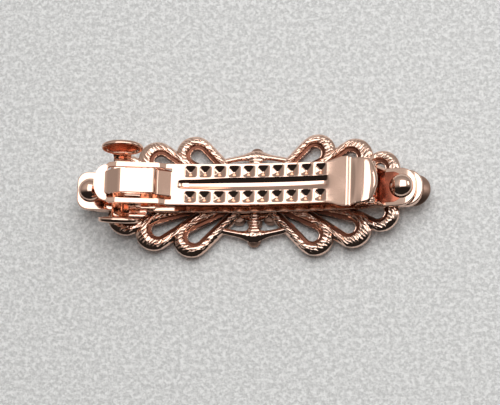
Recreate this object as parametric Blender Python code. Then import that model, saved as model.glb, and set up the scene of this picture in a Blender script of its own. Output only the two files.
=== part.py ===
"""Rhinestone hair clip: a French barrette, lying on its jewelled face with its clasp upwards.

Every piece is drawn flat, with s along the clip, y across it and h up from the floor, and is then
bent on one shared arc, so that the base, the arm and the ornament keep their gaps all the way along.
"""
import math

import bmesh
import bpy
from mathutils import Vector

MM = 0.001

# Driving sizes
ORNAMENT_LENGTH = 76.8 * MM
ORNAMENT_WIDTH = 29.2 * MM
BOW_RADIUS = 195.0 * MM
BASE_WIDTH = 9.0 * MM
BASE_THICKNESS = 0.9 * MM
ARM_WIDTH = 9.6 * MM
ARM_THICKNESS = 0.7 * MM
ARM_RISE = 6.0 * MM
BRIDGE_RISE = 2.2 * MM
TOOTH_SIZE = 2.6 * MM
TOOTH_WALL = 0.7 * MM
PIN_RADIUS = 0.75 * MM
BAND_WIDTH = 2.7 * MM
BAND_DEPTH = 2.0 * MM
CENTRE_STONE_RADIUS = 3.9 * MM
RING_STONE_RADIUS = 1.3 * MM
PETAL_STONE_RADIUS = 0.85 * MM
EAR_PAD_LENGTH = 9.6 * MM
EAR_PAD_HEIGHT = 5.0 * MM
SHEET = 0.5 * MM

# Clearances
STACK_GAP = 0.1 * MM
STONE_GAP = 0.08 * MM
PIN_GAP = 0.06 * MM
SIDE_GAP = 0.4 * MM
HOOK_GAP = 0.15 * MM

# Derived levels, counted up from the floor at the middle of the clip
BAND_FRONT = 1.4 * MM
SPINE_TOP = BAND_FRONT + BAND_DEPTH
SPINE_BOTTOM = SPINE_TOP - 1.4 * MM
BASE_BOTTOM = SPINE_TOP + STACK_GAP
BASE_TOP = BASE_BOTTOM + BASE_THICKNESS
ARM_TOP = BASE_TOP + ARM_RISE
ARM_BOTTOM = ARM_TOP - ARM_THICKNESS
LATCH_BOTTOM = BASE_TOP + STACK_GAP
LATCH_TOP = LATCH_BOTTOM + SHEET

# Derived places along and across the clip
KX = ORNAMENT_LENGTH / (76.8 * MM)
KY = ORNAMENT_WIDTH / (29.2 * MM)
BASE_LEFT = -ORNAMENT_LENGTH / 2 - 1.6 * MM
BASE_RIGHT = ORNAMENT_LENGTH / 2 - 1.2 * MM
BASE_HALF = BASE_WIDTH / 2
RIVET_LEFT = BASE_LEFT + 3.0 * MM
RIVET_RIGHT = BASE_RIGHT - 3.3 * MM
PIN_S = BASE_RIGHT - 9.6 * MM
PIN_H = ARM_TOP - 2.4 * MM
TIP_S = BASE_LEFT + 3.6 * MM
BRIDGE_S = [TIP_S + d * MM for d in (2.7, 6.0, 14.0, 14.7, 18.4)]
TEETH_START = TIP_S + 22.4 * MM
TEETH_END = PIN_S - 11.2 * MM
TOOTH_COUNT = 1 + math.floor((TEETH_END - TEETH_START) / (TOOTH_SIZE + TOOTH_WALL))
ARM_HALF = ARM_WIDTH / 2
LUG_THICKNESS = 0.8 * MM
CHEEK_OUTER = BASE_HALF - LUG_THICKNESS - SIDE_GAP
CHEEK_INNER = CHEEK_OUTER - 0.8 * MM
PLATE_HALF = ARM_HALF + 1.0 * MM
CREASE_S = PIN_S - 4.3 * MM
END_RADIUS = BASE_HALF - 0.65 * MM
WINDOW_HALF = ARM_HALF - 1.1 * MM
BRIDGE_HALF = WINDOW_HALF - 0.9 * MM
EAR_S = TIP_S + 9.1 * MM
RIVET_SHANK = 1.1 * MM
RIVET_HEAD = 2.75 * MM
BISECT_STEP = 6.0 * MM


# Scene and mesh helpers
def clear_scene():
    for old in list(bpy.data.objects):
        bpy.data.objects.remove(old, do_unlink=True)


def material(name, colour, metallic, roughness):
    made = bpy.data.materials.new(name)
    made.use_nodes = True
    shader = made.node_tree.nodes["Principled BSDF"]
    shader.inputs["Base Color"].default_value = (*colour, 1.0)
    shader.inputs["Metallic"].default_value = metallic
    shader.inputs["Roughness"].default_value = roughness
    return made


def as_object(name, bm):
    bmesh.ops.recalc_face_normals(bm, faces=bm.faces)
    mesh = bpy.data.meshes.new(name)
    bm.to_mesh(mesh)
    bm.free()
    made = bpy.data.objects.new(name, mesh)
    bpy.context.scene.collection.objects.link(made)
    return made


def lofted(name, rings, closed=False):
    """A solid skinned over rings of points that all have the same count."""
    bm = bmesh.new()
    rows = [[bm.verts.new(p) for p in ring] for ring in rings]
    count = len(rows[0])
    pairs = list(zip(rows, rows[1:]))
    if closed:
        pairs.append((rows[-1], rows[0]))
    for one, two in pairs:
        for i in range(count):
            j = (i + 1) % count
            bm.faces.new((one[i], one[j], two[j], two[i]))
    if not closed:
        bm.faces.new(list(reversed(rows[0])))
        bm.faces.new(rows[-1])
    return as_object(name, bm)


def prism(name, outline, low, high):
    """An outline of (s, y) points raised from one level to another."""
    rings = [[(s, y, h) for s, y in outline] for h in (low, high)]
    return lofted(name, rings)


def side_prism(name, outline, y_low, y_high):
    """An outline of (s, h) points carried across the clip."""
    rings = [[(s, y, h) for s, h in outline] for y in (y_low, y_high)]
    return lofted(name, rings)


def end_prism(name, outline, s_low, s_high):
    """An outline of (y, h) points carried along the clip."""
    rings = [[(s, y, h) for y, h in outline] for s in (s_low, s_high)]
    return lofted(name, rings)


def block(name, s0, s1, y0, y1, h0, h1):
    return prism(name, [(s0, y0), (s1, y0), (s1, y1), (s0, y1)], h0, h1)


def disc(name, s, y, radius, low, high, sides=16, top_radius=None):
    top = radius if top_radius is None else top_radius
    rings = []
    for r, h in ((radius, low), (top, high)):
        turn = [2 * math.pi * (i + 0.5) / sides for i in range(sides)]
        rings.append([(s + r * math.cos(a), y + r * math.sin(a), h) for a in turn])
    return lofted(name, rings)


def rounded(s0, s1, half, r_left, r_right, steps=5):
    """A rectangle from s0 to s1 with round corners, as (s, y) points."""
    points = []
    corners = ((s1, half, r_right, 0), (s0, half, r_left, 1),
               (s0, -half, r_left, 2), (s1, -half, r_right, 3))
    for s, y, r, quarter in corners:
        cs = s - r if quarter in (0, 3) else s + r
        cy = y - r if y > 0 else y + r
        for i in range(steps + 1):
            a = math.pi / 2 * (quarter + i / steps)
            points.append((cs + r * math.cos(a), cy + r * math.sin(a)))
    return points


def combine(target, others, operation):
    """Runs one exact Boolean per helper, then keeps the result as plain mesh."""
    for other in others:
        other.hide_render = True
        other.display_type = "WIRE"
        step = target.modifiers.new(other.name, "BOOLEAN")
        step.operation = operation
        step.solver = "EXACT"
        step.use_self = operation == "UNION"
        step.object = other
    graph = bpy.context.evaluated_depsgraph_get()
    result = bpy.data.meshes.new_from_object(target.evaluated_get(graph))
    target.modifiers.clear()
    target.data = result
    for other in others:
        bpy.data.objects.remove(other, do_unlink=True)


def merged(name, pieces):
    """Puts separate closed helpers into one mesh, for use as a single cutter."""
    bm = bmesh.new()
    for piece in pieces:
        bm.from_mesh(piece.data)
        bpy.data.objects.remove(piece, do_unlink=True)
    return as_object(name, bm)


def bent(point):
    """Carries a flat (s, y, h) point onto the shared arc."""
    turn = point[0] / BOW_RADIUS
    radius = BOW_RADIUS - (point[2] - BASE_BOTTOM)
    return Vector((radius * math.sin(turn), point[1],
                   BASE_BOTTOM + BOW_RADIUS - radius * math.cos(turn)))


def laid(point, s, h):
    """Carries a flat point with the arc's frame at one place, so that the piece keeps its own shape."""
    turn = s / BOW_RADIUS
    along = Vector((math.cos(turn), 0, math.sin(turn)))
    up = Vector((-math.sin(turn), 0, math.cos(turn)))
    return bent((s, point[1], h)) + along * (point[0] - s) + up * (point[2] - h)


def finish(obj, look, rigid=None):
    """Cuts the piece at even stations, bends it and gives it its material, or lays it unbent at one place."""
    bm = bmesh.new()
    bm.from_mesh(obj.data)
    bmesh.ops.remove_doubles(bm, verts=bm.verts, dist=0.0005 * MM)
    if rigid:
        for v in bm.verts:
            v.co = laid(v.co, *rigid)
    else:
        low = min(v.co.x for v in bm.verts)
        high = max(v.co.x for v in bm.verts)
        for k in range(math.ceil(low / BISECT_STEP), math.floor(high / BISECT_STEP) + 1):
            station = (k * BISECT_STEP, 0, 0)
            every = bm.verts[:] + bm.edges[:] + bm.faces[:]
            bmesh.ops.bisect_plane(bm, geom=every, dist=0.0005 * MM,
                                   plane_co=station, plane_no=(1, 0, 0))
        bmesh.ops.triangulate(bm, faces=bm.faces[:])
        for v in bm.verts:
            v.co = bent(v.co)
    bm.normal_update()
    bm.to_mesh(obj.data)
    bm.free()
    obj.data.materials.clear()
    obj.data.materials.append(look)
    return obj


# Ornament: petals, centre and seats
PETALS = (
    ((6.8, 4.85), (13.3, 9.75), 0.0, 0.75),
    ((14.1, 4.65), (21.5, 8.25), 0.06, 1.0),
    ((22.3, 3.5), (28.1, 5.15), 0.12, 0.6),
)


def petal_path(root, tip):
    """Stations (point, outward normal) from one foot of a teardrop loop round to the other."""
    root = Vector((root[0] * KX * MM, root[1] * KY * MM))
    tip = Vector((tip[0] * KX * MM, tip[1] * KY * MM))
    along = (tip - root).normalized()
    across = Vector((-along.y, along.x))
    radius = 4.15 * MM * KY - BAND_WIDTH / 2
    reach = (tip - root).length
    back = BAND_WIDTH / 2 * reach / (radius - BAND_WIDTH / 2)
    lean = math.asin(radius / (reach + back))
    start = root - along * 3.0 * MM
    spread = (back - 3.0 * MM) * math.tan(lean)
    stations = []
    for side in (1, -1):
        normal = across * side * math.cos(lean) - along * math.sin(lean)
        foot = start + across * side * spread
        meet = tip + normal * radius
        leg = [(foot, normal), ((foot + meet) / 2, normal)]
        stations.append(leg)
    arc = []
    first = math.pi / 2 + lean
    for i in range(11):
        a = first - 2 * first * i / 10
        normal = along * math.cos(a) + across * math.sin(a)
        arc.append((tip + normal * radius, normal))
    return stations[0] + arc + list(reversed(stations[1])), arc, along


def petal(name, path, along, drop, swell, flip_s, flip_y):
    half = BAND_WIDTH / 2
    low = BAND_FRONT + drop * MM
    high = SPINE_TOP - drop * MM
    deep = high - low
    section = ((-half, low), (-half, low + 0.55 * deep), (-0.33 * half, low + 0.65 * deep),
               (-0.07 * half, low + 0.9 * deep), (0.26 * half, high),
               (0.67 * half, high - 0.05 * deep), (half, high - 0.35 * deep), (half, low))
    rings = []
    for point, normal in path:
        wider = 1 + max(0.0, normal.dot(along)) * swell * MM / half
        ring = [(point + normal * (u * wider if u > 0 else u), h) for u, h in section]
        rings.append([(p.x * flip_s, p.y * flip_y, h) for p, h in ring])
    return lofted(name, rings)


def stone_rings(s, y, table, radius, grow):
    """A stone's rings, or with grow its seat, from the table down to the culet."""
    levels = ((0.62, 0.0), (1.0, 0.3), (0.22, 1.05))
    deep = min(radius, 2.35 * MM)
    rings = []
    for share, depth in levels:
        r = share * radius + grow
        h = table + depth * deep
        turn = [2 * math.pi * (i + 0.5) / 8 for i in range(8)]
        rings.append([(s + r * math.cos(a), y + r * math.sin(a), h) for a in turn])
    if grow:
        wide = radius + grow
        turn = [2 * math.pi * (i + 0.5) / 8 for i in range(8)]
        rings[0] = [(s + wide * math.cos(a), y + wide * math.sin(a), table - radius) for a in turn]
        rings[2] = [(x, v, h + grow) for x, v, h in rings[2]]
    return rings


def build_ornament(metal, glass):
    stones = [("stone_centre", 0.0, 0.0, 0.0, CENTRE_STONE_RADIUS)]
    orbit = CENTRE_STONE_RADIUS + 0.55 * MM + RING_STONE_RADIUS + 0.3 * MM
    for i in range(10):
        a = 2 * math.pi * (i + 0.5) / 10
        stones.append((f"stone_ring_{i + 1:02d}", orbit * math.cos(a), orbit * math.sin(a),
                       0.6 * MM, RING_STONE_RADIUS))
    accent = 10.3 * MM * KY
    stones.append(("stone_accent_back", 0.0, accent, 0.9 * MM, RING_STONE_RADIUS * 0.85))
    stones.append(("stone_accent_front", 0.0, -accent, 0.9 * MM, RING_STONE_RADIUS * 0.85))

    end = ORNAMENT_LENGTH / 2
    pad = BASE_HALF - 0.2 * MM
    spine_half = 3.6 * MM
    outline = rounded(-end, end, pad, pad - 0.5 * MM, pad - 0.5 * MM)
    frame = prism("ornament_frame", outline, SPINE_BOTTOM, SPINE_TOP)
    waist = [(-29.0 * MM * KX, spine_half), (29.0 * MM * KX, spine_half),
             (27.0 * MM * KX, 2 * pad), (-27.0 * MM * KX, 2 * pad)]
    low, high = SPINE_BOTTOM - 1 * MM, SPINE_TOP + 1 * MM
    cuts = [prism("waist_back", waist, low, high),
            prism("waist_front", [(s, -y) for s, y in waist], low, high)]
    for i, s in enumerate((RIVET_LEFT, RIVET_RIGHT)):
        cuts.append(disc(f"rivet_hole_{i}", s, 0, RIVET_SHANK + STACK_GAP, low, high))
    combine(frame, cuts, "DIFFERENCE")

    joins = []
    for flip_s, side in ((1, "right"), (-1, "left")):
        for flip_y, face in ((1, "back"), (-1, "front")):
            for k, (root, tip, drop, swell) in enumerate(PETALS):
                path, arc, along = petal_path(root, tip)
                joins.append(petal(f"petal_{side}_{face}_{k}", path, along, drop, swell, flip_s, flip_y))
                for j, at in enumerate((2, 5, 8)):
                    spot = arc[at][0]
                    table = BAND_FRONT + drop * MM - 0.28 * MM
                    stones.append((f"stone_{side}_{face}_{k + 1}{'abc'[j]}", spot.x * flip_s,
                                   spot.y * flip_y, table, PETAL_STONE_RADIUS))
    stem = 0.9 * MM
    joins.append(block("stem", -stem, stem, -9.8 * MM * KY, 9.8 * MM * KY,
                       SPINE_BOTTOM + 0.25 * MM, SPINE_TOP - 0.22 * MM))
    for flip in (1, -1):
        brace = []
        for s, y in ((-7.4, 8.2), (-4.2, 9.0), (-1.8, 9.4), (0, 9.9), (1.8, 9.4), (4.2, 9.0), (7.4, 8.2)):
            tall = 0.75 * MM
            centre = (s * KX * MM, y * KY * MM * flip)
            ring = [(centre[0], centre[1] - tall, 1.75 * MM), (centre[0], centre[1] + tall, 1.75 * MM),
                    (centre[0], centre[1] + tall * 0.6, 3.05 * MM),
                    (centre[0], centre[1] - tall * 0.6, 3.05 * MM)]
            brace.append(ring)
        joins.append(lofted(f"brace_{flip}", brace))
        joins.append(disc(f"accent_cup_{flip}", 0, accent * flip, RING_STONE_RADIUS * 0.85 + 0.45 * MM,
                          1.15 * MM, 2.75 * MM, 14))
    joins.append(disc("centre_cup", 0, 0, CENTRE_STONE_RADIUS + 0.55 * MM, 0.9 * MM, SPINE_TOP - 0.35 * MM,
                      28, CENTRE_STONE_RADIUS + 0.2 * MM))
    for name, s, y, table, radius in stones:
        if name.startswith("stone_ring"):
            joins.append(disc("cup_" + name, s, y, radius + 0.42 * MM, 0.82 * MM, 2.5 * MM, 14,
                              radius + 0.1 * MM))
    joins.append(disc("hub", 0, 0, orbit, 1.9 * MM, 2.62 * MM, 30))
    combine(frame, joins, "UNION")

    seats = []
    culet = 0.22 * CENTRE_STONE_RADIUS + STONE_GAP
    for name, s, y, table, radius in stones:
        seats.append(lofted("seat_" + name, stone_rings(s, y, table, radius, STONE_GAP)))
    seats.append(disc("light_hole", 0, 0, culet, 1 * MM, 6 * MM, 8))
    combine(frame, [merged("seats", seats[1:-1]), seats[0], seats[-1]], "DIFFERENCE")
    finish(frame, metal)
    for name, s, y, table, radius in stones:
        finish(lofted(name, stone_rings(s, y, table, radius, 0.0)), glass, (s, table))


# Base bar with its hinge lugs, and the two rivets
def build_base(metal):
    base = prism("base_bar", rounded(BASE_LEFT, BASE_RIGHT, BASE_HALF, 2.6 * MM, END_RADIUS),
                 BASE_BOTTOM, BASE_TOP)
    lugs = []
    eye = PIN_RADIUS + 0.55 * MM
    for flip in (1, -1):
        outline = [(PIN_S + 3.0 * MM, BASE_BOTTOM + 0.2 * MM), (PIN_S + 2.1 * MM, BASE_TOP + 1.3 * MM),
                   (PIN_S + eye + 0.15 * MM, PIN_H - eye)]
        for i in range(10):
            a = math.radians(-20 + 180 * i / 9)
            outline.append((PIN_S + eye * math.cos(a), PIN_H + eye * math.sin(a)))
        outline += [(PIN_S - 2 * eye, PIN_H - 0.3 * MM), (PIN_S - 3 * eye, BASE_TOP + 1.6 * MM),
                    (PIN_S - 4.7 * MM, BASE_BOTTOM + 0.2 * MM)]
        outer = (BASE_HALF - 0.02 * MM) * flip
        inner = (BASE_HALF - LUG_THICKNESS) * flip
        lugs.append(side_prism(f"lug_{flip}", outline, min(inner, outer), max(inner, outer)))
    combine(base, lugs, "UNION")
    holes = [disc(f"base_hole_{i}", s, 0, RIVET_SHANK + STACK_GAP, BASE_BOTTOM - 1 * MM, BASE_TOP + 1 * MM)
             for i, s in enumerate((RIVET_LEFT, RIVET_RIGHT))]
    circle = [(PIN_S + (PIN_RADIUS + PIN_GAP) * math.cos(2 * math.pi * i / 16),
               PIN_H + (PIN_RADIUS + PIN_GAP) * math.sin(2 * math.pi * i / 16)) for i in range(16)]
    holes.append(side_prism("lug_bore", circle, -BASE_WIDTH, BASE_WIDTH))
    combine(base, holes, "DIFFERENCE")
    finish(base, metal)

    for name, s in (("rivet_left", RIVET_LEFT), ("rivet_right", RIVET_RIGHT)):
        seat = BASE_TOP + STACK_GAP / 2
        profile = [(RIVET_SHANK, SPINE_BOTTOM + 0.1 * MM), (RIVET_SHANK, seat), (RIVET_HEAD * 0.98, seat)]
        for i in range(6):
            a = math.radians(12 + 13.5 * i)
            profile.append((RIVET_HEAD * math.cos(a), seat + 2.1 * MM * math.sin(a)))
        turn = [2 * math.pi * (i + 0.5) / 16 for i in range(16)]
        rings = [[(s + r * math.cos(a), r * math.sin(a), h) for a in turn] for r, h in profile]
        finish(lofted(name, rings), metal)


# Clasp arm: toothed strip, raised bridge, cheeks and rolled tail
def build_arm(metal):
    shoulder = TEETH_END + 1.2 * MM
    wide_from = PIN_S - 5.3 * MM
    outline = []
    steps = 8
    tip_half = ARM_HALF - 0.6 * MM
    for i in range(steps + 1):
        a = math.pi / 2 + math.pi * i / steps
        outline.append((BRIDGE_S[0] + (BRIDGE_S[0] - TIP_S) * math.cos(a), tip_half * math.sin(a)))
    outline += [(BRIDGE_S[0] + 0.6 * MM, -ARM_HALF), (shoulder, -ARM_HALF), (wide_from, -PLATE_HALF),
                (CREASE_S, -PLATE_HALF), (CREASE_S + 0.3 * MM, -ARM_HALF), (PIN_S, -ARM_HALF),
                (PIN_S, ARM_HALF), (CREASE_S + 0.3 * MM, ARM_HALF), (CREASE_S, PLATE_HALF),
                (wide_from, PLATE_HALF), (shoulder, ARM_HALF), (BRIDGE_S[0] + 0.6 * MM, ARM_HALF)]
    arm = prism("clasp_arm", outline, ARM_BOTTOM, ARM_TOP)
    window = block("window", BRIDGE_S[0] + 0.2 * MM, BRIDGE_S[-1] - 0.2 * MM, -WINDOW_HALF, WINDOW_HALF,
                   ARM_BOTTOM - 1 * MM, ARM_TOP + 1 * MM)
    combine(arm, [window], "DIFFERENCE")

    rise = BRIDGE_RISE
    thin = ARM_THICKNESS * 0.9
    low = ARM_BOTTOM + ARM_THICKNESS * 0.05
    s0, s1, s2, step, s3 = BRIDGE_S
    back = 0.5 * MM
    under = [(s0 - back, low), (s0 + back, low), (s1 + 0.3 * MM, low + rise), (s2 - 0.3 * MM, low + rise),
             (step - 0.25 * MM, low + rise / 2), (s3 - back, low), (s3 + back, low)]
    over = [(s3 + back, low), (s3, low), (step, low + rise / 2), (s2, low + rise), (s1, low + rise),
            (s0, low), (s0 - back, low)]
    bridge = under + [(s, h + thin) for s, h in over]
    joins = [side_prism("bridge", bridge, -BRIDGE_HALF, BRIDGE_HALF)]

    pitch = (TEETH_END - TEETH_START) / (TOOTH_COUNT - 1)
    deep = 0.8 * MM
    pits = []
    row = ARM_HALF - TOOTH_SIZE / 2 - 0.5 * MM
    for i in range(TOOTH_COUNT):
        for flip in (1, -1):
            s = TEETH_START + pitch * i
            top = TOOTH_SIZE / 2 * 0.94
            levels = ((top, ARM_BOTTOM + 0.2 * MM), (0.62 * top, ARM_BOTTOM - deep))
            joins.append(lofted(f"tooth_{i}_{flip}", square_rings(s, row * flip, levels)))
            levels = ((TOOTH_SIZE / 2 * 1.06, ARM_TOP + 0.1 * MM), (0.28 * top, ARM_BOTTOM - deep - 0.1 * MM))
            pits.append(lofted(f"pit_{i}_{flip}", square_rings(s, row * flip, levels)))
    groove_start = BRIDGE_S[-1] + 0.9 * MM
    groove_end = TEETH_END + 1.7 * MM
    joins.append(block("groove_rib", groove_start + 0.3 * MM, groove_end - 0.3 * MM, -0.95 * MM, 0.95 * MM,
                       ARM_BOTTOM - 0.3 * MM, ARM_BOTTOM + 0.3 * MM))
    pits.append(block("groove", groove_start, groove_end, -0.7 * MM, 0.7 * MM,
                      ARM_TOP - 0.55 * MM, ARM_TOP + 1 * MM))

    eye = 1.5 * MM
    for flip in (1, -1):
        cheek = [(CREASE_S + 0.5 * MM, ARM_BOTTOM + 0.3 * MM)]
        for i in range(11):
            a = math.radians(215 + 160 * i / 10)
            cheek.append((PIN_S + eye * math.cos(a), PIN_H + eye * math.sin(a)))
        cheek.append((PIN_S + 1.3 * MM, ARM_BOTTOM + 0.3 * MM))
        edges = sorted((CHEEK_INNER * flip, CHEEK_OUTER * flip))
        joins.append(side_prism(f"cheek_{flip}", cheek, edges[0], edges[1]))
    rings = []
    outer = ARM_TOP - PIN_H - 0.03 * MM
    inner = ARM_BOTTOM - PIN_H + 0.03 * MM
    for degrees, share in ((96, 0.985), (82, 0.98), (70, 0.96), (58, 0.9), (46, 0.79), (38, 0.66), (33, 0.5)):
        a = math.radians(degrees)
        half = ARM_HALF * share
        rings.append([(PIN_S + r * math.cos(a), y, PIN_H + r * math.sin(a))
                      for r, y in ((inner, -half), (inner, half), (outer, half), (outer, -half))])
    joins.append(lofted("tail", rings))
    combine(arm, joins, "UNION")
    circle = [(PIN_S + (PIN_RADIUS + 2 * PIN_GAP) * math.cos(2 * math.pi * i / 16),
               PIN_H + (PIN_RADIUS + 2 * PIN_GAP) * math.sin(2 * math.pi * i / 16)) for i in range(16)]
    bore = side_prism("cheek_bore", circle, -2 * BASE_WIDTH, 2 * BASE_WIDTH)
    combine(arm, [merged("pits", pits), bore], "DIFFERENCE")
    finish(arm, metal)


def square_rings(s, y, levels):
    return [[(s - r, y - r, h), (s + r, y - r, h), (s + r, y + r, h), (s - r, y + r, h)] for r, h in levels]


def build_pin(metal):
    cap = BASE_HALF + PIN_GAP
    profile = [(PIN_RADIUS * 1.1, -cap - 0.45 * MM), (PIN_RADIUS * 1.5, -cap - 0.3 * MM), (PIN_RADIUS * 1.5, -cap),
               (PIN_RADIUS, -cap), (PIN_RADIUS, cap), (PIN_RADIUS * 1.5, cap),
               (PIN_RADIUS * 1.5, cap + 0.3 * MM), (PIN_RADIUS * 1.1, cap + 0.45 * MM)]
    turn = [2 * math.pi * i / 16 for i in range(16)]
    rings = [[(PIN_S + r * math.cos(a), y, PIN_H + r * math.sin(a)) for a in turn] for r, y in profile]
    finish(lofted("hinge_pin", rings), metal)


# Latch plate, its two sprung ears, and the bowed tension bar
def build_latch(metal):
    half = BASE_HALF - 0.25 * MM
    plate = prism("latch_plate", rounded(EAR_S - 4.7 * MM, EAR_S + 5.3 * MM, half, 1.0 * MM, 1.0 * MM, 3),
                  LATCH_BOTTOM, LATCH_TOP)
    tabs = prism("tabs", rounded(EAR_S - 1.4 * MM, EAR_S + 3.3 * MM, ARM_HALF + 1.2 * MM, 1.1 * MM, 1.1 * MM, 3),
                 LATCH_BOTTOM + 0.03 * MM, LATCH_TOP - 0.03 * MM)
    combine(plate, [tabs], "UNION")
    finish(plate, metal)
    for flip, name in ((1, "latch_ear_back"), (-1, "latch_ear_front")):
        build_ear(name, flip, metal)

    start = EAR_S + 7.0 * MM
    stop = PIN_S - 3.2 * MM
    middle = (start + stop) / 2
    crown = ARM_BOTTOM - 0.8 * MM - LATCH_BOTTOM - 1.9 * MM
    thick = 0.45 * MM
    outline = []
    for i in range(13):
        s = start + (stop - start) * i / 12
        outline.append((s, LATCH_BOTTOM + crown * (1 - ((s - middle) / (middle - start)) ** 2)))
    upper = [(s, h + thick) for s, h in reversed(outline)]
    finish(side_prism("tension_bar", outline + upper, -3.0 * MM, 3.0 * MM), metal)


def build_ear(name, flip, metal):
    """A spring ear: a hooked wall through the arm's window, a neck under the arm and a thumb pad."""
    foot = LATCH_TOP + STACK_GAP
    wall_out = WINDOW_HALF - HOOK_GAP - 0.2 * MM
    wall_in = wall_out - SHEET
    top = ARM_BOTTOM + BRIDGE_RISE - 0.45 * MM
    nose = WINDOW_HALF - HOOK_GAP
    lip = ARM_TOP + 0.3 * MM
    hook = [(wall_in, foot), (wall_out, foot), (wall_out, lip), (nose, lip + 0.1 * MM), (nose, lip + 0.35 * MM),
            (wall_out, top), (wall_in, top)]
    wall = end_prism(name, [(y * flip, h) for y, h in hook], EAR_S - 1.9 * MM, EAR_S + 1.9 * MM)
    lean = math.radians(14)
    pad_y = ARM_HALF + 2.9 * MM
    pad_h = foot + 2.55 * MM
    neck = [(wall_in + 0.1 * MM, foot + 0.02 * MM), (pad_y - 0.9 * MM, foot + 0.02 * MM),
            (pad_y + 0.1 * MM, foot + 0.5 * MM), (pad_y + 0.75 * MM, pad_h + 0.6 * MM),
            (pad_y + 0.25 * MM, pad_h + 0.7 * MM), (pad_y - 0.3 * MM, foot + 0.95 * MM),
            (pad_y - 1.1 * MM, foot + 0.52 * MM), (wall_in + 0.1 * MM, foot + 0.52 * MM)]
    shift = 2.8 * MM
    strip = end_prism("neck", [(y * flip, h) for y, h in neck], EAR_S - 1.95 * MM - shift, EAR_S + 1.95 * MM - shift)
    toe = sorted(((wall_in + 0.05 * MM) * flip, (wall_out + 0.5 * MM) * flip))
    foot_strip = block("foot", EAR_S - shift - 1.9 * MM, EAR_S + 1.85 * MM, toe[0], toe[1],
                       foot + 0.04 * MM, foot + 0.46 * MM)
    rings = []
    centre = pad_h + EAR_PAD_HEIGHT / 2 - 0.35 * MM
    mid_y = pad_y + 0.45 * MM + math.tan(lean) * (EAR_PAD_HEIGHT / 2 - 0.35 * MM)
    turn = [2 * math.pi * (i + 0.5) / 24 for i in range(24)]
    for share, out in ((0.55, -0.06), (0.78, -0.12), (0.92, -0.42), (1.0, -0.25), (1.0, 0.2), (0.9, 0.38), (0.6, 0.42)):
        ring = []
        for a in turn:
            s = EAR_S - shift + EAR_PAD_LENGTH / 2 * share * math.cos(a)
            up = EAR_PAD_HEIGHT / 2 * share * math.sin(a)
            y = mid_y + up * math.sin(lean) + out * MM * math.cos(lean)
            ring.append((s, y * flip, centre + up * math.cos(lean) - out * MM * math.sin(lean)))
        rings.append(ring)
    combine(wall, [foot_strip, strip, lofted("pad", rings)], "UNION")
    finish(wall, metal)


def joint_empty(name, s, y, h):
    made = bpy.data.objects.new(name, None)
    made.empty_display_size = 4 * MM
    made.location = bent((s, y, h))
    bpy.context.scene.collection.objects.link(made)
    return made


def hang(child, parent):
    bpy.context.view_layer.update()
    child.parent = parent
    child.matrix_parent_inverse = parent.matrix_world.inverted()


clear_scene()
ROSE = material("rose_gold_plate", (0.86, 0.56, 0.45), 1.0, 0.14)
TEXTURED = material("rose_gold_cast", (0.84, 0.54, 0.44), 1.0, 0.26)
STEEL = material("rose_gold_spring", (0.84, 0.53, 0.42), 1.0, 0.18)
GLASS = material("crystal", (0.92, 0.94, 0.97), 0.0, 0.03)
build_ornament(TEXTURED, GLASS)
build_base(ROSE)
build_arm(ROSE)
build_pin(ROSE)
build_latch(STEEL)
HINGE = joint_empty("arm_axis", PIN_S, 0, PIN_H)
hang(bpy.data.objects["clasp_arm"], HINGE)
EAR_FOOT = LATCH_TOP + STACK_GAP + SHEET / 2
EAR_WALL = WINDOW_HALF - HOOK_GAP - 0.2 * MM - SHEET / 2
for SIGN, EAR in ((1, "latch_ear_back"), (-1, "latch_ear_front")):
    hang(bpy.data.objects[EAR], joint_empty(EAR + "_axis", EAR_S, EAR_WALL * SIGN, EAR_FOOT))
for EMPTY in ("arm_axis", "latch_ear_back_axis", "latch_ear_front_axis"):
    PLACE = bpy.data.objects[EMPTY].location
    print(EMPTY, [round(c, 6) for c in PLACE])
print("ear axis direction", round(math.cos(EAR_S / BOW_RADIUS), 6), 0.0, round(math.sin(EAR_S / BOW_RADIUS), 6))
print("parts", sum(1 for o in bpy.data.objects if o.type == "MESH"))
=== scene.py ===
# %% [markdown]
# # Dressing a rose-gold barrette
# The clip lies on its jewelled face, and the photograph looks down on its clasp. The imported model
# gives the true solids and joints. This lesson rebuilds each piece that shows as the maker made it,
# from pressed sheet, cast petals, turned rivets and cut stones, and gives each one its finish.

# %% Load the frame
import math

import bmesh
import bpy
from mathutils import Matrix, Vector, noise as ripple


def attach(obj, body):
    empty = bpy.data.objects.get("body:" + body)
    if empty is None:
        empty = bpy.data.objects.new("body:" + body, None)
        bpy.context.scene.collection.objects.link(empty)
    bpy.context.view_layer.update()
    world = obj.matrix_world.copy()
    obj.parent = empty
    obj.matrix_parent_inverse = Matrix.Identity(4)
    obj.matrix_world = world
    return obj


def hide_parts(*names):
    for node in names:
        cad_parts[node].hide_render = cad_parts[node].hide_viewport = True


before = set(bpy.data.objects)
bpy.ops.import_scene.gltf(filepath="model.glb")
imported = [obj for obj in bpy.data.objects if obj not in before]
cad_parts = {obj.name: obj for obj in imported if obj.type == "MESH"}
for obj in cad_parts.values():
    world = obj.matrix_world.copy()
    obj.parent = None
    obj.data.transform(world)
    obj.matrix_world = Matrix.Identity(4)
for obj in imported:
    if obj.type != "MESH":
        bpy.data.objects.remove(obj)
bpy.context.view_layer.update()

MM = 0.001

# %% [markdown]
# ## The camera
# The angle came from matching some thirty points of the clip, such as tooth pits and petal tips,
# to their places in the photograph. The lens is long, so the clip shows almost no perspective.
# The camera is turned about its own axis until the clip runs level across the picture. It looks a
# few pixels to the left of the clip's middle and below it, as the photograph does.

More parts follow.
